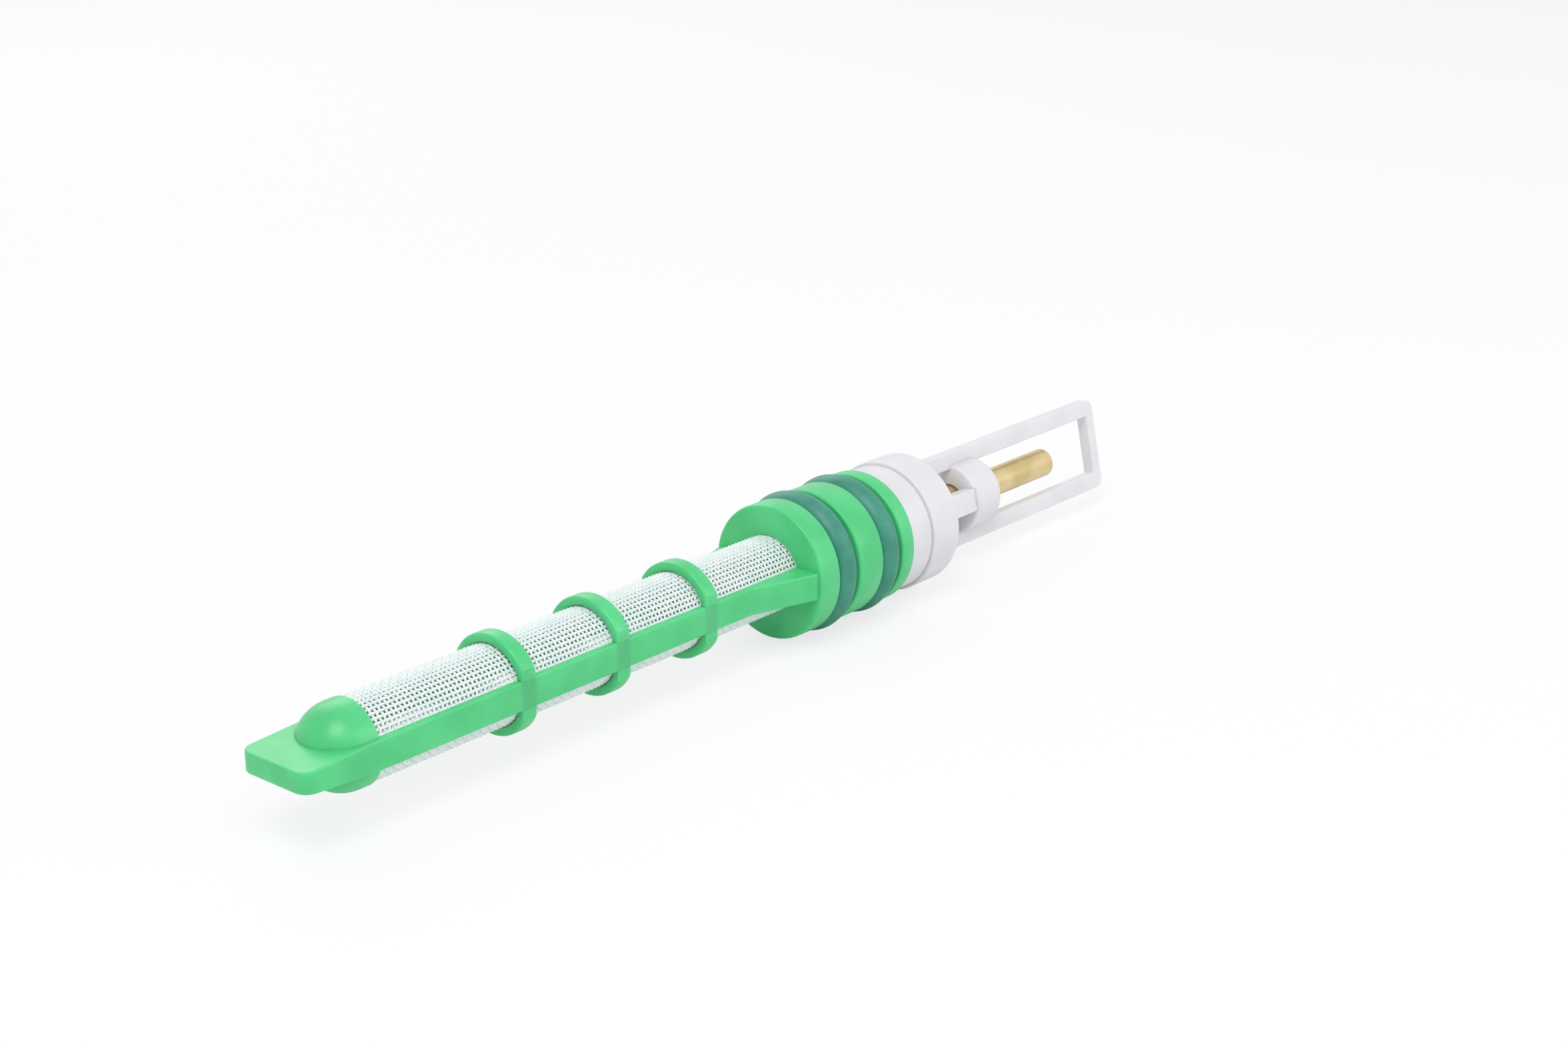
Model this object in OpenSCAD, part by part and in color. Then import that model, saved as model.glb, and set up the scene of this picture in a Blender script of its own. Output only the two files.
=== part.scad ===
// Fixed orifice tube for a refrigerant line: a screened inlet cage with a sealing head,
// two O-rings, a brass metering tube and a caged outlet body.
// The flow axis is X and the outlet is at +X. The origin is the middle of the collar.

/* [Sealing head] */
// Diameter of the three lands and of the outlet body's collar
guide_d = 8.4; // [8:0.1:9]
// Length of the land at the inlet face
land_inlet_len = 1.75; // [1:0.05:3]
// Length of the land between the two O-rings
land_middle_len = 2.25; // [1:0.05:3]
// Length of the land at the outlet body
land_outlet_len = 1.15; // [0.8:0.05:2]
// Gap between the O-ring's section and each side of its groove
groove_side = 0.06; // [0.03:0.01:0.3]
// Chamfer on the edges of the lands
land_chamfer = 0.15; // [0.05:0.05:0.3]
// Wall of the plug that the outlet body fits over
spigot_wall = 1.65; // [1.2:0.05:2]
// Length of that plug
spigot_len = 2.3; // [1:0.1:3]

/* [O-rings] */
// Height that an O-ring stands proud of the lands
ring_proud = 0.22; // [0.1:0.02:0.3]
// Thickness of the O-ring's round section
ring_section = 1.78; // [1.6:0.02:1.8]
// Gap between the O-ring and the groove's floor
ring_clear = 0.02; // [0.01:0.01:0.1]

/* [Inlet cage] */
// Outside diameter of the woven screen tube
screen_d = 4.72; // [4.2:0.04:5]
// Thickness of the woven screen
screen_t = 0.2; // [0.1:0.05:0.3]
// Depth that the screen sits in the head's face
screen_seat = 0.5; // [0.2:0.1:1]
// Distance from the head's face to the centre of the end dome
cage_len = 33.25; // [25:0.25:45]
// Height that the side rails stand proud of the screen
rail_proud = 0.19; // [0.1:0.01:0.5]
// Thickness of the side rails, and of the tip plate beside the dome
rail_t = 1.7; // [1.2:0.1:2]
// Depth of each rail, from its outer face inwards
rail_depth = 0.6; // [0.45:0.05:0.8]
// Length of the buttress where a rail meets the head
buttress_len = 4.5; // [2:0.25:6]
// Number of hoops around the screen
hoop_n = 3; // [1:1:4]
// Distance from the head's face to the first hoop
hoop_first = 7.95; // [5:0.25:10]
// Distance from one hoop to the next
hoop_pitch = 7.25; // [5:0.25:8]
// Width of a hoop along the axis
hoop_w = 1.0; // [0.6:0.1:1.6]
// Thickness of a hoop outside the screen
hoop_t = 0.56; // [0.3:0.02:0.8]
// Height that the end dome stands proud of the screen
dome_proud = 0.09; // [0.05:0.01:0.2]
// Wall of the end dome
dome_wall = 0.55; // [0.5:0.05:0.8]
// Length of the dome's straight skirt
dome_skirt = 0.6; // [0.3:0.1:1.5]
// Distance that the tip plate runs past the dome's centre
tip_reach = 4.5; // [3:0.25:6]
// Corner radius of the tip plate
tip_corner_r = 0.8; // [0.4:0.1:1.6]
// Thickness of the tip plate at its end
tip_t = 1.2; // [0.8:0.1:1.6]

/* [Brass orifice tube] */
// Outside diameter of the brass tube
orifice_od = 1.9; // [1.7:0.05:2.2]
// Metering bore of the brass tube
orifice_id = 1.28; // [1:0.01:1.5]
// Length of the brass tube
orifice_len = 38.1; // [36:0.1:42]
// Length of brass that stands out of the outlet hub
orifice_stub = 7.9; // [2:0.1:9]
// Radial gap between the brass tube and the outlet body
orifice_clear = 0.03; // [0.01:0.01:0.1]

/* [Outlet body] */
// Length of the collar
collar_len = 2.5; // [2:0.1:5]
// Step down from the collar to the shoulder behind the head
shoulder_step = 0.2; // [0.1:0.05:0.6]
// Length of that shoulder
shoulder_len = 2.1; // [1.5:0.1:3]
// Radial gap between the head's plug and its socket
spigot_clear = 0.05; // [0.02:0.01:0.15]
// Gap left behind the plug in its socket
web_gap = 0.05; // [0.02:0.01:0.2]
// Length of the windowed neck between the collar and the hub
neck_len = 4.5; // [3:0.25:6]
// Wall of the hub around the brass tube
hub_wall = 1.35; // [1.1:0.05:1.6]
// Length of the hub
hub_len = 2.6; // [2:0.1:5]
// Thickness of the two side ribs of the neck
side_rib_t = 1.5; // [0.8:0.1:1.8]
// Gap between the brass tube and the side ribs
side_rib_gap = 0.25; // [0.1:0.05:0.6]

/* [Outlet frame] */
// Distance from the hub to the outer end of the frame
frame_reach = 13.95; // [12:0.25:18]
// Height that each side of the frame stands proud of the hub
frame_proud = 0.8; // [0.5:0.05:1.2]
// Thickness of the frame's flat plate
frame_t = 0.9; // [0.7:0.1:1.6]
// Height of each frame rail
frame_rail_h = 1.1; // [0.9:0.1:1.3]
// Width of the bar that closes the frame
end_bar_w = 0.8; // [0.6:0.1:1.6]
// Corner radius of the frame
frame_corner_r = 0.6; // [0.2:0.1:0.9]
// Roll of the frame about the flow axis, away from upright
frame_roll = 12; // [0:1:30]

/* [Hidden] */
$fn = 96;

green = [0.16, 0.72, 0.32];
seal_green = [0.08, 0.36, 0.28];
mesh_white = [0.86, 0.92, 0.90];
natural_white = [0.90, 0.90, 0.93];
brass = [0.80, 0.62, 0.28];

// diameters and widths that follow from the sizes above
ring_id = guide_d + 2 * ring_proud - 2 * ring_section;
groove_floor_r = ring_id / 2 - ring_clear;
groove_w = ring_section + 2 * groove_side;
spigot_d = orifice_od + 2 * spigot_wall;
cage_w = screen_d + 2 * rail_proud;
cage_half_w = cage_w / 2;
dome_d = screen_d + 2 * dome_proud;
shoulder_d = guide_d - 2 * shoulder_step;
hub_d = orifice_od + 2 * hub_wall;
frame_h = hub_d + 2 * frame_proud;
side_rib_y0 = orifice_od / 2 + side_rib_gap;

// stations along the flow axis, worked out from the collar
collar_x0 = -collar_len / 2;
collar_x1 = collar_len / 2;
head_x1 = collar_x0 - shoulder_len;
groove_2_x0 = head_x1 - land_outlet_len - groove_w;
groove_1_x0 = groove_2_x0 - land_middle_len - groove_w;
head_x0 = groove_1_x0 - land_inlet_len;
dome_x = head_x0 - cage_len;
screen_x0 = dome_x + dome_skirt;
screen_x1 = head_x0 + screen_seat;
hub_x0 = collar_x1 + neck_len;
hub_x1 = hub_x0 + hub_len;
frame_x1 = hub_x1 + frame_reach;
orifice_x1 = hub_x1 + orifice_stub;
orifice_x0 = orifice_x1 - orifice_len;
// small overlap that joins two shapes of one piece
eps = 0.01;
// length that a cut runs past the face it opens
past = 1;

// a solid round along the flow axis from x0 to x1
module round_bar(x0, x1, d) {
    translate([x0, 0, 0]) rotate([0, 90, 0]) cylinder(h = x1 - x0, d = d);
}

// the same, with a chamfer at both ends
module land(x0, x1, d, c) {
    rotate([0, 90, 0])
        rotate_extrude()
            polygon([[0, x0], [d / 2 - c, x0], [d / 2, x0 + c], [d / 2, x1 - c], [d / 2 - c, x1], [0, x1]]);
}

// a block along the flow axis, with its width in Y and its height in Z
module bar(x0, x1, y0, y1, t) {
    translate([x0, y0, -t / 2]) cube([x1 - x0, y1 - y0, t]);
}

// three lands with two grooves between them, and the plug behind
module head() {
    land(head_x0, groove_1_x0, guide_d, land_chamfer);
    land(groove_1_x0 + groove_w, groove_2_x0, guide_d, land_chamfer);
    land(groove_2_x0 + groove_w, head_x1, guide_d, land_chamfer);
    round_bar(head_x0 + eps, head_x1 - eps, 2 * groove_floor_r);
    round_bar(head_x1 - eps, head_x1 + spigot_len, spigot_d);
}

// one rail, on the +Y side, with its buttress at the head
module rail() {
    bar(dome_x, head_x0 + eps, cage_half_w - rail_depth, cage_half_w, rail_t);
    translate([0, 0, -rail_t / 2])
        linear_extrude(height = rail_t)
            polygon([
                [head_x0 - buttress_len, cage_half_w - eps],
                [head_x0 + eps, cage_half_w - rail_depth],
                [head_x0 + eps, guide_d / 2 - 2 * land_chamfer]
            ]);
}

// a hoop around the screen, trimmed flush with the rails' outer faces
module hoop(x) {
    intersection() {
        difference() {
            round_bar(x - hoop_w / 2, x + hoop_w / 2, screen_d + 2 * hoop_t);
            round_bar(x - hoop_w, x + hoop_w, screen_d);
        }
        translate([x, 0, 0]) cube([2 * hoop_w, cage_w, 2 * screen_d], center = true);
    }
}

// the plate at the tip, with two rounded corners, thinning from the rails to its end
module tip_plate() {
    tip_x0 = dome_x - tip_reach;
    corner_y = cage_half_w - tip_corner_r;
    intersection() {
        translate([0, 0, -rail_t / 2])
            linear_extrude(height = rail_t)
                union() {
                    translate([tip_x0, -corner_y]) square([tip_reach, 2 * corner_y]);
                    translate([tip_x0 + tip_corner_r, -cage_half_w])
                        square([tip_reach - tip_corner_r, cage_w]);
                    for (side = [-1, 1])
                        translate([tip_x0 + tip_corner_r, side * corner_y]) circle(r = tip_corner_r);
                }
        translate([0, cage_w, 0])
            rotate([90, 0, 0])
                linear_extrude(height = 2 * cage_w)
                    polygon([
                        [tip_x0, -tip_t / 2],
                        [dome_x, -rail_t / 2],
                        [dome_x, rail_t / 2],
                        [tip_x0, tip_t / 2]
                    ]);
    }
}

// closed half sphere with a straight skirt
module dome() {
    intersection() {
        translate([dome_x, 0, 0]) sphere(d = dome_d);
        round_bar(dome_x - dome_d, dome_x + eps, 2 * dome_d);
    }
    round_bar(dome_x, screen_x0, dome_d);
}

module inlet_cage() {
    color(green)
        difference() {
            union() {
                head();
                rail();
                mirror([0, 1, 0]) rail();
                tip_plate();
                for (i = [0 : hoop_n - 1])
                    hoop(head_x0 - hoop_first - i * hoop_pitch);
                dome();
            }
            // hollow of the dome, open towards the screen
            translate([dome_x, 0, 0]) sphere(d = dome_d - 2 * dome_wall);
            round_bar(dome_x, screen_x0 + eps, dome_d - 2 * dome_wall);
            // seat for the end of the screen
            difference() {
                round_bar(head_x0 - eps, screen_x1, screen_d);
                bar(head_x0 - past, screen_x1 + past, -cage_w, cage_w, rail_t);
            }
            // bore that holds the brass tube
            round_bar(head_x0 - past, head_x1 + spigot_len + past, orifice_od);
        }
}

// woven tube whose two seams are moulded into the side rails
module inlet_screen() {
    color(mesh_white)
        difference() {
            round_bar(screen_x0, screen_x1, screen_d);
            round_bar(screen_x0 - past, screen_x1 + past, screen_d - 2 * screen_t);
            bar(screen_x0 - past, screen_x1 + past, -screen_d, screen_d, rail_t);
        }
}

module o_ring(groove_x0) {
    color(seal_green)
        translate([groove_x0 + groove_w / 2, 0, 0])
            rotate([0, 90, 0])
                rotate_extrude()
                    translate([(ring_id + ring_section) / 2, 0]) circle(d = ring_section);
}

module o_ring_inlet() {
    o_ring(groove_1_x0);
}

module o_ring_outlet() {
    o_ring(groove_2_x0);
}

module orifice_tube() {
    color(brass)
        difference() {
            round_bar(orifice_x0, orifice_x1, orifice_od);
            round_bar(orifice_x0 - past, orifice_x1 + past, orifice_id);
        }
}

// flat open frame in the XZ plane: two rails and the bar that closes them
module outlet_frame() {
    half_h = frame_h / 2;
    corner_x = frame_x1 - frame_corner_r;
    corner_z = half_h - frame_corner_r;
    translate([0, frame_t / 2, 0])
        rotate([90, 0, 0])
            linear_extrude(height = frame_t)
                difference() {
                    union() {
                        translate([collar_x1 - eps, -half_h]) square([corner_x - collar_x1 + eps, frame_h]);
                        translate([corner_x - eps, -corner_z]) square([frame_corner_r + eps, 2 * corner_z]);
                        for (side = [-1, 1])
                            translate([corner_x, side * corner_z]) circle(r = frame_corner_r);
                    }
                    translate([collar_x1 - past, -(half_h - frame_rail_h)])
                        square([frame_x1 - end_bar_w - collar_x1 + past, frame_h - 2 * frame_rail_h]);
                }
}

module outlet_body() {
    color(natural_white)
        difference() {
            union() {
                round_bar(head_x1, collar_x0 + eps, shoulder_d);
                round_bar(collar_x0, collar_x1, guide_d);
                round_bar(hub_x0, hub_x1, hub_d);
                rotate([-frame_roll, 0, 0]) {
                    outlet_frame();
                    for (side = [0, 1])
                        mirror([0, side, 0])
                            bar(collar_x1 - eps, hub_x0 + eps, side_rib_y0, hub_d / 2, side_rib_t);
                }
            }
            round_bar(head_x1 - past, head_x1 + spigot_len + web_gap, spigot_d + 2 * spigot_clear);
            round_bar(head_x1, hub_x1 + past, orifice_od + 2 * orifice_clear);
        }
}

inlet_cage();
inlet_screen();
o_ring_inlet();
o_ring_outlet();
orifice_tube();
outlet_body();
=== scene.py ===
# %% [markdown]
# A fixed orifice tube sits inside a refrigerant line and meters the flow. It is about
# 72 mm long: a green moulded cage with a woven screen, a sealing head with two O-rings,
# a fine brass tube through the middle, and a natural white outlet body with an open frame.
# The CAD model fixes every place and size. This lesson gives each piece its finer shape
# and its finish, one piece at a time.

# %% Load the frame
import math

import bmesh
import bpy
from mathutils import Matrix, Vector


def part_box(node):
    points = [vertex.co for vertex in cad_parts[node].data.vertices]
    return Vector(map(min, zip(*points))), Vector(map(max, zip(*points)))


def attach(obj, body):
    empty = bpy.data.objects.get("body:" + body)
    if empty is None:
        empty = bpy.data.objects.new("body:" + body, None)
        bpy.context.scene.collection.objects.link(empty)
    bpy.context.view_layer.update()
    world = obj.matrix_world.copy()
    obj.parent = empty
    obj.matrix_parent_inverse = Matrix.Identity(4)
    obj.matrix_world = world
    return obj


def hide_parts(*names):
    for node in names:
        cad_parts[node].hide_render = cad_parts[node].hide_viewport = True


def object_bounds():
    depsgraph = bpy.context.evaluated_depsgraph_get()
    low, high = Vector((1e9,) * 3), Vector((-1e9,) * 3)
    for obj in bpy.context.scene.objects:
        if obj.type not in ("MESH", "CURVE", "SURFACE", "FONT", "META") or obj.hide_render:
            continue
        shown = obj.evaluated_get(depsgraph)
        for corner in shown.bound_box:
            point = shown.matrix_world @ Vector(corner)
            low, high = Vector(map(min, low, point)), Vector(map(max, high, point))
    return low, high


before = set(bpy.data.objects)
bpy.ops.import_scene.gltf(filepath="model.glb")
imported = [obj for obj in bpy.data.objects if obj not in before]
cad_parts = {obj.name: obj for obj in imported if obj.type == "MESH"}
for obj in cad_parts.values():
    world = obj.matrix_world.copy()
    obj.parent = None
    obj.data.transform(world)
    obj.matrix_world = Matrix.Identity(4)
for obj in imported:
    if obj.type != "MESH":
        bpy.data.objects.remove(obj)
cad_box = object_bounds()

MM = 0.001
print("CAD nodes:", len(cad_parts))
print("CAD box in mm:", [[round(v / MM, 2) for v in corner] for corner in cad_box])

# %% [markdown]
# The camera comes first, so that every later look is taken from the same place. It stands
# low and in front of the screened end, and looks along the part towards the outlet.
# A longer lens from further away would flatten the part. This one, held 16 cm off, gives
# the strong taper that a small object has when it is looked at closely.

# %% Camera
camera_lens = bpy.data.cameras.new("bench_camera")
camera_lens.lens = 58.25
camera_lens.sensor_width = 36.0
camera_lens.clip_start = 0.01
camera = bpy.data.objects.new("bench_camera", camera_lens)
bpy.context.scene.collection.objects.link(camera)
camera.location = (-0.12076, -0.09371, 0.05298)
look = Vector((0.7187, 0.6130, -0.3282))
camera.rotation_euler = look.to_track_quat("-Z", "Y").to_euler()
bpy.context.scene.camera = camera
print("camera is", round(camera.location.length / MM), "mm from the collar")

# %% [markdown]
# Moulded plastic is never one flat colour. A slow cloudy change in tone and a very fine
# bump break the highlight up. A picture could be wrapped around each piece instead, but a
# noise needs no unwrapping. It reads Object coordinates, which are metres here, so a noise
# scale of 400 means a pattern about 2.5 mm across.

# %% Finishes: helpers that every material shares
def new_finish(name, roughness):
    finish = bpy.data.materials.new(name)
    finish.use_nodes = True
    nodes = finish.node_tree.nodes
    shader = nodes["Principled BSDF"]
    shader.inputs["Roughness"].default_value = roughness
    place = nodes.new("ShaderNodeTexCoord")
    return finish, nodes, finish.node_tree.links, shader, place.outputs["Object"]


def noise_on(nodes, links, place, scale, detail=2.0, stretch=(1.0, 1.0, 1.0)):
    mapping = nodes.new("ShaderNodeMapping")
    mapping.inputs["Scale"].default_value = stretch
    noise = nodes.new("ShaderNodeTexNoise")
    noise.inputs["Scale"].default_value = scale
    noise.inputs["Detail"].default_value = detail
    links.new(place, mapping.inputs["Vector"])
    links.new(mapping.outputs["Vector"], noise.inputs["Vector"])
    return noise.outputs["Fac"]


def two_tones(nodes, links, fac, dark, light, low=0.35, high=0.65):
    ramp = nodes.new("ShaderNodeValToRGB")
    ramp.color_ramp.elements[0].position = low
    ramp.color_ramp.elements[0].color = (*dark, 1.0)
    ramp.color_ramp.elements[1].position = high
    ramp.color_ramp.elements[1].color = (*light, 1.0)
    links.new(fac, ramp.inputs["Fac"])
    return ramp.outputs["Color"]


def rough_between(nodes, links, fac, low, high, shader):
    spread = nodes.new("ShaderNodeMapRange")
    spread.inputs["To Min"].default_value = low
    spread.inputs["To Max"].default_value = high
    links.new(fac, spread.inputs["Value"])
    links.new(spread.outputs["Result"], shader.inputs["Roughness"])


def bump_from(nodes, links, fac, strength, depth, shader):
    bump = nodes.new("ShaderNodeBump")
    bump.inputs["Strength"].default_value = strength
    bump.inputs["Distance"].default_value = depth
    links.new(fac, bump.inputs["Height"])
    links.new(bump.outputs["Normal"], shader.inputs["Normal"])


print("one cycle of a noise of scale 400:", 1 / 400 / MM, "mm")

# %% [markdown]
# The green cage and the white outlet body are both injection moulded. Light goes a little
# way into such plastic and comes out beside where it went in, so the shader scatters it
# under the surface over less than a millimetre. Without that, thin rails look painted.

# %% Finishes: the two moulded plastics
CLOUD_SCALE = 420.0
GRAIN_SCALE = 5200.0


def moulded_plastic(name, dark, light, glow, low, high):
    finish, nodes, links, shader, place = new_finish(name, low)
    cloud = noise_on(nodes, links, place, CLOUD_SCALE)
    links.new(two_tones(nodes, links, cloud, dark, light), shader.inputs["Base Color"])
    grain = noise_on(nodes, links, place, GRAIN_SCALE, 3.0)
    rough_between(nodes, links, grain, low, high, shader)
    bump_from(nodes, links, grain, 0.25, 0.00002, shader)
    shader.inputs["Subsurface Weight"].default_value = glow
    shader.inputs["Subsurface Radius"].default_value = (1.0, 1.0, 1.0)
    shader.inputs["Subsurface Scale"].default_value = 0.0008
    shader.inputs["IOR"].default_value = 1.5
    return finish


green_plastic = moulded_plastic(
    "green_plastic", (0.060, 0.540, 0.190), (0.082, 0.610, 0.232), 0.25, 0.26, 0.42)
natural_plastic = moulded_plastic(
    "natural_plastic", (0.695, 0.693, 0.732), (0.735, 0.730, 0.765), 0.30, 0.40, 0.56)
print("moulded finishes:", green_plastic.name, natural_plastic.name)

# %% [markdown]
# The O-rings are a darker, bluish green rubber with a satin skin. The screen is a pale
# woven monofilament. The brass is drawn tube, so its marks run along its length: a noise
# squeezed in X gives long streaks. An anisotropic shader could give the same stretch to
# the highlight, but real streaks show up close. Metal also needs a pale room to reflect.

# %% Finishes: rubber, woven monofilament and drawn brass
def satin_rubber():
    finish, nodes, links, shader, place = new_finish("seal_rubber", 0.42)
    cloud = noise_on(nodes, links, place, 700.0)
    tone = two_tones(nodes, links, cloud, (0.030, 0.225, 0.155), (0.042, 0.280, 0.205))
    links.new(tone, shader.inputs["Base Color"])
    skin = noise_on(nodes, links, place, 7000.0, 3.0)
    rough_between(nodes, links, skin, 0.36, 0.52, shader)
    bump_from(nodes, links, skin, 0.3, 0.00002, shader)
    return finish


def pale_monofilament():
    finish, nodes, links, shader, place = new_finish("screen_weave", 0.35)
    cloud = noise_on(nodes, links, place, 900.0)
    tone = two_tones(nodes, links, cloud, (0.76, 0.90, 0.88), (0.86, 0.95, 0.94))
    links.new(tone, shader.inputs["Base Color"])
    rough_between(nodes, links, cloud, 0.30, 0.45, shader)
    shader.inputs["Subsurface Weight"].default_value = 0.35
    shader.inputs["Subsurface Radius"].default_value = (1.0, 1.0, 1.0)
    shader.inputs["Subsurface Scale"].default_value = 0.0003
    return finish


def drawn_brass():
    finish, nodes, links, shader, place = new_finish("drawn_brass", 0.3)
    streaks = noise_on(nodes, links, place, 3000.0, 3.0, (0.06, 1.0, 1.0))
    stain = noise_on(nodes, links, place, 380.0)
    tone = two_tones(nodes, links, stain, (0.62, 0.49, 0.24), (0.76, 0.63, 0.35))
    links.new(tone, shader.inputs["Base Color"])
    rough_between(nodes, links, streaks, 0.24, 0.44, shader)
    bump_from(nodes, links, streaks, 0.3, 0.00001, shader)
    shader.inputs["Metallic"].default_value = 1.0
    return finish


seal_rubber = satin_rubber()
screen_thread = pale_monofilament()
brass = drawn_brass()
print("other finishes:", seal_rubber.name, screen_thread.name, brass.name)

# %% [markdown]
# Nearly every piece here is either turned around the flow axis or cut from a flat plate.
# A turned piece could be stacked from cylinders, but their hidden ends would stay inside,
# so it is a short closed outline spun once around X. A plate is one flat face, extruded to
# its thickness. Sharp corners are then rounded by a small bevel, because a real moulding
# always has a little radius that catches the light.

# %% Making shapes: turned pieces and plates
SAME_POINT = 1e-7


def turned(outline, steps=96):
    shape = bmesh.new()
    corners = [shape.verts.new((x * MM, 0.0, r * MM)) for x, r in outline]
    loop = [shape.edges.new(pair) for pair in zip(corners, corners[1:] + corners[:1])]
    bmesh.ops.spin(
        shape, geom=corners + loop, cent=(0, 0, 0), axis=(1, 0, 0),
        angle=2 * math.pi, steps=steps, use_merge=True)
    bmesh.ops.remove_doubles(shape, verts=shape.verts, dist=SAME_POINT)
    bmesh.ops.recalc_face_normals(shape, faces=shape.faces)
    return shape


def plate(outline, thickness, upright=False):
    shape = bmesh.new()
    half = thickness / 2
    if upright:
        corners = [shape.verts.new((x * MM, -half * MM, z * MM)) for x, z in outline]
        rise = Vector((0, thickness * MM, 0))
    else:
        corners = [shape.verts.new((x * MM, y * MM, -half * MM)) for x, y in outline]
        rise = Vector((0, 0, thickness * MM))
    rim = [shape.edges.new(pair) for pair in zip(corners, corners[1:] + corners[:1])]
    flat = bmesh.ops.edgeloop_fill(shape, edges=rim)["faces"]
    grown = bmesh.ops.extrude_face_region(shape, geom=flat, use_keep_orig=True)["geom"]
    top = [item for item in grown if isinstance(item, bmesh.types.BMVert)]
    bmesh.ops.translate(shape, verts=top, vec=rise)
    bmesh.ops.recalc_face_normals(shape, faces=shape.faces)
    return shape


trial = turned([(0, 1), (2, 1), (2, 0.5), (0, 0.5)])
print("a trial ring has", len(trial.faces), "faces and", round(trial.calc_volume() / MM**3, 2), "mm3")
trial.free()

# %% [markdown]
# A bevel could be a modifier on the finished piece, but then every edge gets one width.
# Done here, shell by shell, the edges that matter get their own radius.

# %% Making shapes: soft corners
CORNER = math.radians(30)


def is_corner(edge):
    return len(edge.link_faces) == 2 and edge.calc_face_angle() > CORNER


def rims_beyond(shape, radius):
    def outside(v):
        return math.hypot(v.co.y, v.co.z) > radius * MM
    return [e for e in shape.edges if is_corner(e) and all(outside(v) for v in e.verts)]


def soften(shape, width, edges=None, segments=2):
    if edges is None:
        edges = [e for e in shape.edges if is_corner(e)]
    bmesh.ops.bevel(
        shape, geom=edges, offset=width * MM, offset_type="OFFSET", segments=segments,
        profile=0.5, affect="EDGES", material=-1, clamp_overlap=True)
    return shape


print("edges sharper than", round(math.degrees(CORNER)), "degrees are softened")

# %% [markdown]
# One moulding is made of several simple shells that run into each other. They could be
# fused with Booleans, but those leave slivers on round shapes, and a bevel fails there.
# Closed shells that overlap look the same from outside. Each finished piece then hides
# the CAD node it stands for.

# %% Making shapes: joining shells into one named piece
def add_shell(whole, shell, turn=None):
    if turn is not None:
        bmesh.ops.transform(shell, matrix=turn, verts=shell.verts)
    carrier = bpy.data.meshes.new("carrier")
    shell.to_mesh(carrier)
    whole.from_mesh(carrier)
    bpy.data.meshes.remove(carrier)
    shell.free()


def finished_piece(name, shape, finish, slot, cad_node, flat_faces=True):
    mesh = bpy.data.meshes.new(name)
    shape.to_mesh(mesh)
    shape.free()
    mesh.materials.append(finish)
    for face in mesh.polygons:
        face.use_smooth = True
    item = bpy.data.objects.new(name, mesh)
    bpy.context.scene.collection.objects.link(item)
    if flat_faces:
        mesh.set_sharp_from_angle(angle=math.radians(50))
        shading = item.modifiers.new("even_shading", "WEIGHTED_NORMAL")
        shading.keep_sharp = True
    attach(item, "root")
    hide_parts(cad_node)
    corners = mesh.vertices
    spans = [max(v.co[i] for v in corners) - min(v.co[i] for v in corners) for i in range(3)]
    print(name, len(mesh.polygons), "faces,", [round(s / MM, 2) for s in spans], "mm")
    return item


print("kit:", turned.__name__, plate.__name__, soften.__name__, finished_piece.__name__)

# %% [markdown]
# The sealing head has three lands with two grooves between them, a shallow seat for the
# screen, and a plug that goes into the outlet body. All of it is one turned outline, given
# as stations along X and radii. Only the rims of the lands are rounded, so that an O-ring
# can roll over them. The grooves keep their sharp floors.

# %% Sealing head
LAND_R = 4.2
GROOVE_R = 2.62
SCREEN_R = 2.36
BRASS_R = 0.95
PLUG_R = 2.6
HEAD_FACE = -12.3
SEAT_END = -11.8
HEAD_BACK = -3.35
PLUG_END = -1.05
head_outline = [(HEAD_FACE, LAND_R)]
for start, end in ((-10.55, -8.65), (-6.4, -4.5)):
    head_outline += [(start, LAND_R), (start, GROOVE_R), (end, GROOVE_R), (end, LAND_R)]
head_outline += [
    (HEAD_BACK, LAND_R), (HEAD_BACK, PLUG_R), (PLUG_END, PLUG_R), (PLUG_END, BRASS_R),
    (SEAT_END, BRASS_R), (SEAT_END, SCREEN_R), (HEAD_FACE, SCREEN_R)]
head = turned(head_outline, steps=128)
rims = rims_beyond(head, LAND_R - 0.05)
soften(head, 0.15, rims, segments=3)
cage = bmesh.new()
add_shell(cage, head)
print("head rims softened:", len(rims))

# %% [markdown]
# The two side rails and the tip plate are one flat plate, so they are drawn as one
# outline: up one side, around the tip and back. Each rail flares into the head. The plate
# is then cut across beside the dome, and everything beyond the cut thins towards the tip.

# %% Side rails and tip plate
RAIL_Y = 2.55
RAIL_INNER = 1.95
RAIL_T = 1.7
DOME_X = -45.55
TIP_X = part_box("inlet_cage")[0].x / MM
TIP_T = 1.2
side = [(-12.2, RAIL_INNER), (-12.2, 3.95), (-12.9, 3.72), (-16.8, RAIL_Y)]
rails_outline = side + [(TIP_X, RAIL_Y), (TIP_X, -RAIL_Y)]
rails_outline += [(x, -y) for x, y in reversed(side)]
rails_outline += [(DOME_X, -RAIL_INNER), (DOME_X, RAIL_INNER)]
rails = plate(rails_outline, RAIL_T)
bmesh.ops.bisect_plane(
    rails, geom=rails.verts[:] + rails.edges[:] + rails.faces[:],
    plane_co=(DOME_X * MM, 0, 0), plane_no=(1, 0, 0))
for v in rails.verts:
    beyond = max(0.0, (DOME_X - v.co.x / MM) / (DOME_X - TIP_X))
    v.co.z *= 1 - beyond * (1 - TIP_T / RAIL_T)
tip_corners = [e for e in rails.edges
               if all(v.co.x < (TIP_X + 0.01) * MM for v in e.verts)
               and abs(e.verts[0].co.z - e.verts[1].co.z) > MM]
soften(rails, 0.8, tip_corners, segments=8)
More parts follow.
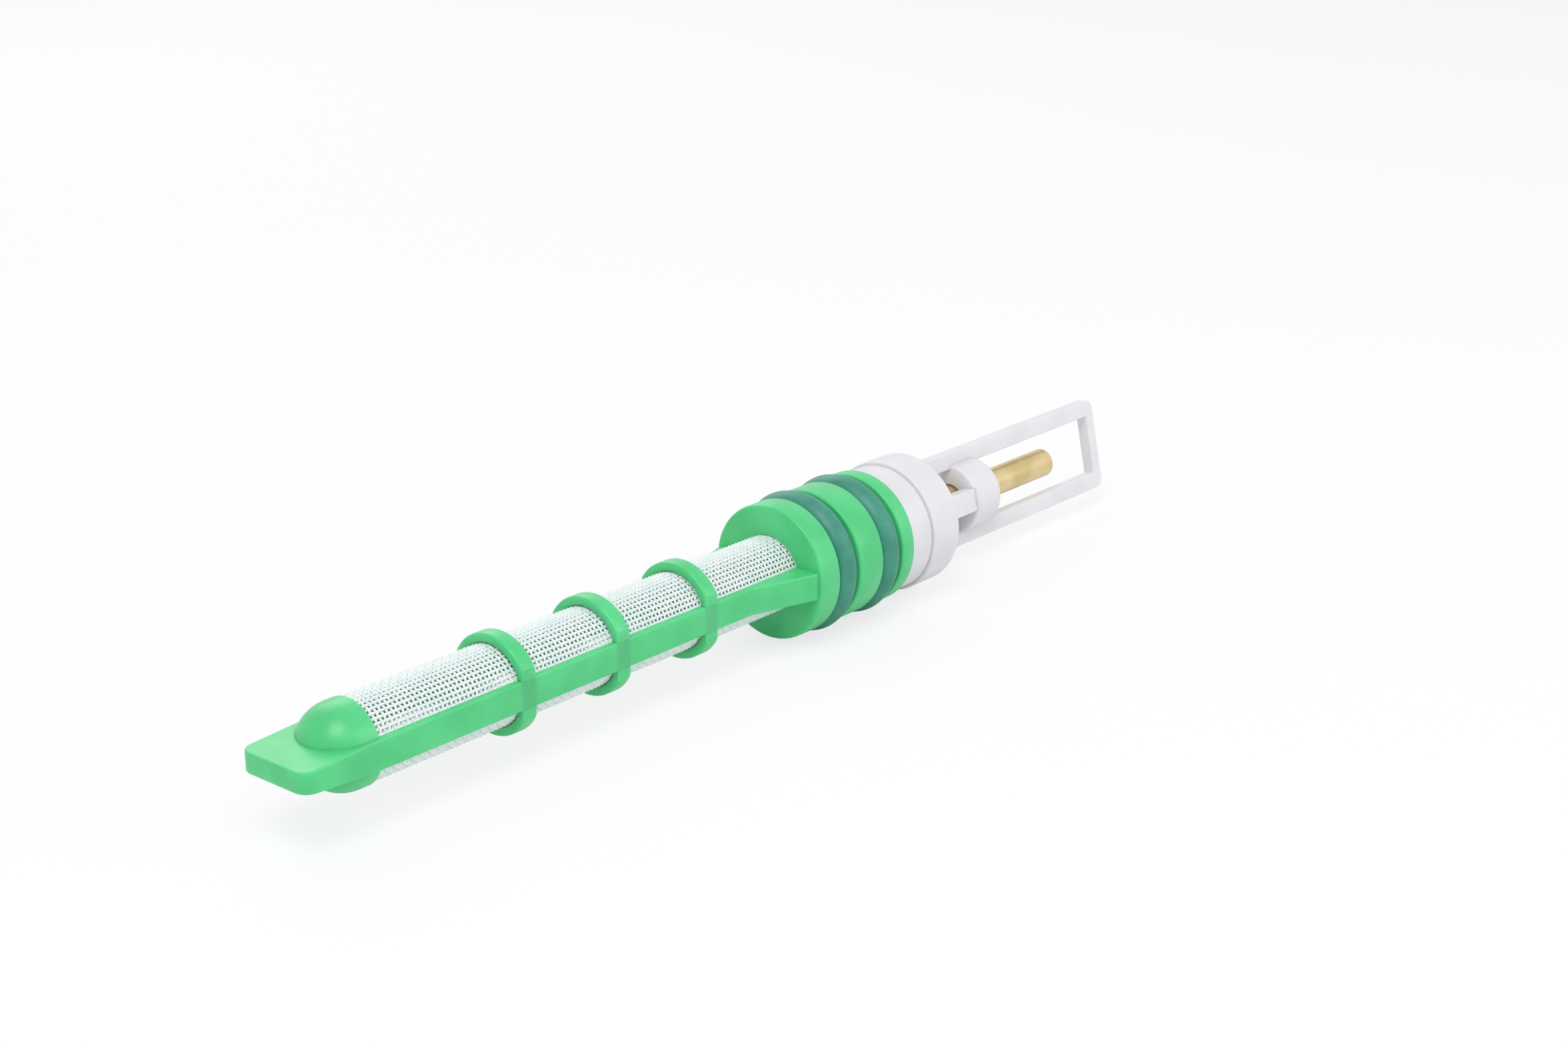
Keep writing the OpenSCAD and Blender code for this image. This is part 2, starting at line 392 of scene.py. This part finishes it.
soften(rails, 0.12)
print("rails and tip plate:", len(rails.faces), "faces, tip at", round(TIP_X, 2), "mm")
add_shell(cage, rails)

# %% [markdown]
# The end of the screen is closed by a hollow dome, and three hoops hold the screen
# between the rails. The dome could be half of a ready-made ball, but a turned outline gives
# its wall and its skirt at once. A hoop is cut a hair inside the rails' outer faces: two faces in
# exactly the same plane would fight, and show up as black patches.

# %% End dome and hoops
DOME_R = 2.45
DOME_INNER = 1.9
SKIRT_END = -44.95
quarter = [math.radians(90 * i / 12) for i in range(13)]
dome_outline = [(DOME_X - DOME_R * math.cos(a), DOME_R * math.sin(a)) for a in quarter]
dome_outline += [(SKIRT_END, DOME_R), (SKIRT_END, DOME_INNER)]
dome_outline += [(DOME_X - DOME_INNER * math.cos(a), DOME_INNER * math.sin(a))
                 for a in reversed(quarter)]
dome = turned(dome_outline, steps=64)
on_axis = [e for e in dome.edges if not e.link_faces]
bmesh.ops.delete(dome, geom=on_axis, context="EDGES")
print("dome:", len(dome.faces), "faces")
add_shell(cage, dome)

HOOP_R = 2.92
HOOP_HALF = 0.5


def hoop(x):
    x0, x1 = x - HOOP_HALF, x + HOOP_HALF
    band = turned([(x0, SCREEN_R), (x0, HOOP_R), (x1, HOOP_R), (x1, SCREEN_R)])
    soften(band, 0.12)
    for way in (1, -1):
        everything = band.verts[:] + band.edges[:] + band.faces[:]
        cut = bmesh.ops.bisect_plane(
            band, geom=everything, plane_co=(0, way * (RAIL_Y - 0.02) * MM, 0),
            plane_no=(0, way, 0), clear_outer=True)
        rim = [e for e in cut["geom_cut"] if isinstance(e, bmesh.types.BMEdge)]
        bmesh.ops.edgeloop_fill(band, edges=rim)
    bmesh.ops.recalc_face_normals(band, faces=band.faces)
    return band


for hoop_x in (-20.25, -27.5, -34.75):
    add_shell(cage, hoop(hoop_x))
cage_piece = finished_piece("cage_moulding", cage, green_plastic, "green_plastic", "inlet_cage")

# %% [markdown]
# The screen could be a plain tube with a woven bump, but its edge and its holes would look
# wrong up close. So it is built from threads: rounds of thread, and straight threads along,
# each going over one and under the next. A thread is only four
# sided, because it is 0.19 mm thick and there are 159 of them. Where the rails cover the
# screen, the threads run inside the plastic, as the moulded seam does.

# %% Threads of the screen
THREAD_R = 0.095
WEAVE_R = 2.24
PITCH = 0.3
AROUND = 48
LIFT = 0.05
EASE = 0.05
weave_x0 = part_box("inlet_screen")[0].x / MM
weave_x1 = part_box("inlet_screen")[1].x / MM
along = int((weave_x1 - weave_x0) / PITCH)


def lift_of(index, parity):
    return LIFT if (index + parity) % 2 else -LIFT


def thread_around(parity):
    loop = bmesh.new()
    bmesh.ops.create_circle(loop, cap_ends=False, radius=THREAD_R * MM, segments=4)
    bmesh.ops.rotate(loop, verts=loop.verts, matrix=Matrix.Rotation(math.pi / 2, 3, "X"))
    bmesh.ops.translate(loop, verts=loop.verts, vec=(0, 0, WEAVE_R * MM))
    bmesh.ops.spin(
        loop, geom=loop.verts[:] + loop.edges[:], cent=(0, 0, 0), axis=(1, 0, 0),
        angle=2 * math.pi, steps=AROUND, use_merge=True)
    for v in loop.verts:
        index = round(math.atan2(v.co.y, v.co.z) / (2 * math.pi / AROUND)) % AROUND
        outward = Vector((0, v.co.y, v.co.z)).normalized()
        v.co += outward * lift_of(index, parity) * MM
    bmesh.ops.recalc_face_normals(loop, faces=loop.faces)
    return loop


def thread_along(parity):
    line = bmesh.new()
    bmesh.ops.create_circle(line, cap_ends=False, radius=THREAD_R * MM, segments=4)
    bmesh.ops.rotate(line, verts=line.verts, matrix=Matrix.Rotation(math.pi / 2, 3, "Y"))
    height = WEAVE_R - lift_of(0, parity)
    bmesh.ops.translate(line, verts=line.verts, vec=((weave_x0 + EASE) * MM, 0, height * MM))
    edges = line.edges[:]
    for index in range(1, along + 1):
        grown = bmesh.ops.extrude_edge_only(line, edges=edges)["geom"]
        ends = [item for item in grown if isinstance(item, bmesh.types.BMVert)]
        edges = [item for item in grown if isinstance(item, bmesh.types.BMEdge)]
        step = -lift_of(index, parity) + lift_of(index - 1, parity)
        bmesh.ops.translate(line, verts=ends, vec=(PITCH * MM, 0, step * MM))
    bmesh.ops.recalc_face_normals(line, faces=line.faces)
    return line


print("screen from", round(weave_x0, 2), "to", round(weave_x1, 2), "mm:", along, "steps")

# %% [markdown]
# Every second thread starts on the other side of its neighbour, which is what makes the
# weave. An Array modifier could copy the threads, but it can't swap over and under, so
# each thread is made with its own parity and put in its place.

# %% Weave the screen
weave = bmesh.new()
for number in range(along + 1):
    station = Matrix.Translation(((weave_x0 + EASE + number * PITCH) * MM, 0, 0))
    add_shell(weave, thread_around(number % 2), station)
for number in range(AROUND):
    swing = Matrix.Rotation(-2 * math.pi * number / AROUND, 4, "X")
    add_shell(weave, thread_along(number % 2), swing)
weave_piece = finished_piece(
    "woven_screen", weave, screen_thread, "screen_weave", "inlet_screen", flat_faces=False)
print("threads around:", along + 1, "threads along:", AROUND)

# %% [markdown]
# An O-ring is a round section swept around the axis. A ready-made torus would do, but a
# moulded ring keeps a faint parting line around its crown. Here that is one corner of the
# turned outline, a few hundredths of a millimetre proud.

# %% O-rings
FLASH = 0.02


def o_ring(name, cad_node):
    low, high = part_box(cad_node)
    middle = (low.x + high.x) / 2 / MM
    section = (high.x - low.x) / 2 / MM
    centre_r = high.z / MM - section
    angles = [2 * math.pi * i / 28 for i in range(28)]
    round_r = section - FLASH
    outline = [(middle + round_r * math.sin(a), centre_r + round_r * math.cos(a)) for a in angles]
    outline[0] = (middle, centre_r + section)
    ring = turned(outline, steps=144)
    return finished_piece(name, ring, seal_rubber, "seal_rubber", cad_node, flat_faces=False)


first_seal = o_ring("first_seal", "o_ring_inlet")
second_seal = o_ring("second_seal", "o_ring_outlet")

# %% [markdown]
# The brass tube is cut from drawn stock, then deburred. A curve with a round bevel could
# make it, but a turned outline has a wall and real ends, which are eased inside and
# outside. It runs from inside the screen to the middle of the outlet frame.

# %% Brass tube
tube_x0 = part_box("orifice_tube")[0].x / MM
tube_x1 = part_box("orifice_tube")[1].x / MM
BORE_R = 0.64
tube_outline = [(tube_x0, BRASS_R), (tube_x1, BRASS_R), (tube_x1, BORE_R), (tube_x0, BORE_R)]
tube = turned(tube_outline, steps=64)
soften(tube, 0.1, segments=3)
tube_piece = finished_piece("metering_tube", tube, brass, "brass", "orifice_tube")

# %% [markdown]
# The outlet body is one white moulding. Its shoulder and collar are turned as one outline,
# with a fine step between them where the mould halves meet, and the hub is turned too. They
# could be one outline, but the windows of the neck leave nothing round between them.

# %% Outlet body: collar and hub
outlet = bmesh.new()
SHOULDER_R = 4.0
STEP_R = 3.9
SOCKET_R = 2.65
SOCKET_END = -1.0
SLEEVE_R = 0.98
COLLAR_X0, COLLAR_X1 = -1.25, 1.25
collar_outline = [
    (HEAD_BACK, SHOULDER_R), (COLLAR_X0 - 0.13, SHOULDER_R), (COLLAR_X0 - 0.07, STEP_R),
    (COLLAR_X0, STEP_R), (COLLAR_X0, LAND_R), (COLLAR_X1, LAND_R), (COLLAR_X1, SLEEVE_R),
    (SOCKET_END, SLEEVE_R), (SOCKET_END, SOCKET_R), (HEAD_BACK, SOCKET_R)]
collar = turned(collar_outline, steps=128)
collar_rims = rims_beyond(collar, LAND_R - 0.05)
soften(collar, 0.12, collar_rims, segments=3)
add_shell(outlet, collar)
HUB_R = 2.3
HUB_X0, HUB_X1 = 5.75, 8.35
hub = turned([(HUB_X0, HUB_R), (HUB_X1, HUB_R), (HUB_X1, SLEEVE_R), (HUB_X0, SLEEVE_R)], steps=64)
soften(hub, 0.15)
add_shell(outlet, hub)
print("collar rims softened:", len(collar_rims))

# %% [markdown]
# The frame is flat and open, so it is a plate on edge, drawn as one outline with its window
# left out. Four separate bars would show seams at the corners. Frame and ribs are rolled
# together by twelve degrees about X. The two ribs tie the hub to the collar beside the
# windows of the neck.

# %% Outlet body: frame and ribs
FRAME_X0 = 1.1
FRAME_X1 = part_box("outlet_body")[1].x / MM
FRAME_H = 3.1
FRAME_T = 0.9
END_BAR = 0.8
WINDOW_H = 2.0
WINDOW_X1 = FRAME_X1 - END_BAR
RIB_T = 1.5
roll = Matrix.Rotation(math.radians(-12), 4, "X")
frame_outline = [
    (FRAME_X0, FRAME_H), (FRAME_X1, FRAME_H), (FRAME_X1, -FRAME_H), (FRAME_X0, -FRAME_H),
    (FRAME_X0, -WINDOW_H), (WINDOW_X1, -WINDOW_H), (WINDOW_X1, WINDOW_H), (FRAME_X0, WINDOW_H)]
open_frame = plate(frame_outline, FRAME_T, upright=True)
frame_corners = [e for e in open_frame.edges
                 if all(v.co.x > (FRAME_X1 - 0.01) * MM for v in e.verts)
                 and abs(e.verts[0].co.y - e.verts[1].co.y) > 0.5 * MM]
soften(open_frame, 0.6, frame_corners, segments=6)
soften(open_frame, 0.1)
add_shell(outlet, open_frame, roll)
for way in (1, -1):
    rib_outline = [(FRAME_X0, 1.2), (HUB_X0 + 0.2, 1.2), (HUB_X0 + 0.2, 2.2), (FRAME_X0, 2.2)]
    rib = plate([(x, way * y) for x, y in rib_outline], RIB_T)
    soften(rib, 0.1)
    add_shell(outlet, rib, roll)
outlet_piece = finished_piece(
    "outlet_moulding", outlet, natural_plastic, "natural_plastic", "outlet_body")

# %% [markdown]
# The part stands over a plain pale floor. To the camera the floor is mostly plain white,
# and the rest of it is a matt grey that still takes the soft shadow. Brighter lamps would
# whiten it too, but they would wash the plastics out.

# %% Floor
floor_shape = bmesh.new()
bmesh.ops.create_grid(floor_shape, x_segments=1, y_segments=1, size=1.0)
bmesh.ops.translate(floor_shape, verts=floor_shape.verts, vec=(0, 0, cad_box[0].z - 0.00002))
floor_mesh = bpy.data.meshes.new("pale_floor")
floor_shape.to_mesh(floor_mesh)
floor_shape.free()
pale_floor = bpy.data.objects.new("pale_floor", floor_mesh)
bpy.context.scene.collection.objects.link(pale_floor)
floor_finish = bpy.data.materials.new("pale_floor")
floor_finish.use_nodes = True
floor_nodes = floor_finish.node_tree.nodes
floor_links = floor_finish.node_tree.links
floor_shader = floor_nodes["Principled BSDF"]
floor_shader.inputs["Base Color"].default_value = (0.9, 0.9, 0.9, 1.0)
floor_shader.inputs["Roughness"].default_value = 0.9
floor_shader.inputs["Specular IOR Level"].default_value = 0.0
white = floor_nodes.new("ShaderNodeEmission")
path = floor_nodes.new("ShaderNodeLightPath")
share = floor_nodes.new("ShaderNodeMath")
share.operation = "MULTIPLY"
share.inputs[1].default_value = 0.75
blend = floor_nodes.new("ShaderNodeMixShader")
floor_links.new(path.outputs["Is Camera Ray"], share.inputs[0])
floor_links.new(share.outputs["Value"], blend.inputs["Fac"])
floor_links.new(floor_shader.outputs["BSDF"], blend.inputs[1])
floor_links.new(white.outputs["Emission"], blend.inputs[2])
floor_links.new(blend.outputs["Shader"], floor_nodes["Material Output"].inputs["Surface"])
floor_mesh.materials.append(floor_finish)
print("floor at", round(cad_box[0].z / MM, 2), "mm")

# %% [markdown]
# The room is white where the camera or a shiny surface sees it, but it lights the part at
# only 0.6. Three large soft lamps add the rest: a key from above the screened end, a weaker
# one from the side and one from behind. Small lamps would give hard shadows and glare.

# %% World and lamps
room = bpy.data.worlds.new("pale_room")
room.use_nodes = True
bpy.context.scene.world = room
room_nodes = room.node_tree.nodes
room_links = room.node_tree.links
glow = room_nodes["Background"]
glow.inputs["Color"].default_value = (1.0, 1.0, 1.0, 1.0)
room_path = room_nodes.new("ShaderNodeLightPath")
seen = room_nodes.new("ShaderNodeMath")
seen.operation = "MAXIMUM"
room_links.new(room_path.outputs["Is Camera Ray"], seen.inputs[0])
room_links.new(room_path.outputs["Is Glossy Ray"], seen.inputs[1])
level = room_nodes.new("ShaderNodeMapRange")
level.inputs["To Min"].default_value = 0.6
level.inputs["To Max"].default_value = 1.0
room_links.new(seen.outputs["Value"], level.inputs["Value"])
room_links.new(level.outputs["Result"], glow.inputs["Strength"])


def soft_lamp(name, place, size, power):
    lamp = bpy.data.lights.new(name, "AREA")
    lamp.shape = "SQUARE"
    lamp.size = size
    lamp.energy = power
    holder = bpy.data.objects.new(name, lamp)
    bpy.context.scene.collection.objects.link(holder)
    holder.location = place
    holder.rotation_euler = (-Vector(place)).to_track_quat("-Z", "Y").to_euler()
    print(name, "at", round(Vector(place).length, 2), "m")


print("room lights at", level.inputs["To Min"].default_value)
soft_lamp("key_lamp", (-0.18, -0.10, 0.30), 0.18, 0.55)
soft_lamp("side_lamp", (0.12, -0.28, 0.16), 0.20, 0.25)
soft_lamp("back_lamp", (0.10, 0.26, 0.20), 0.20, 0.20)
bpy.context.scene.view_settings.view_transform = "Standard"
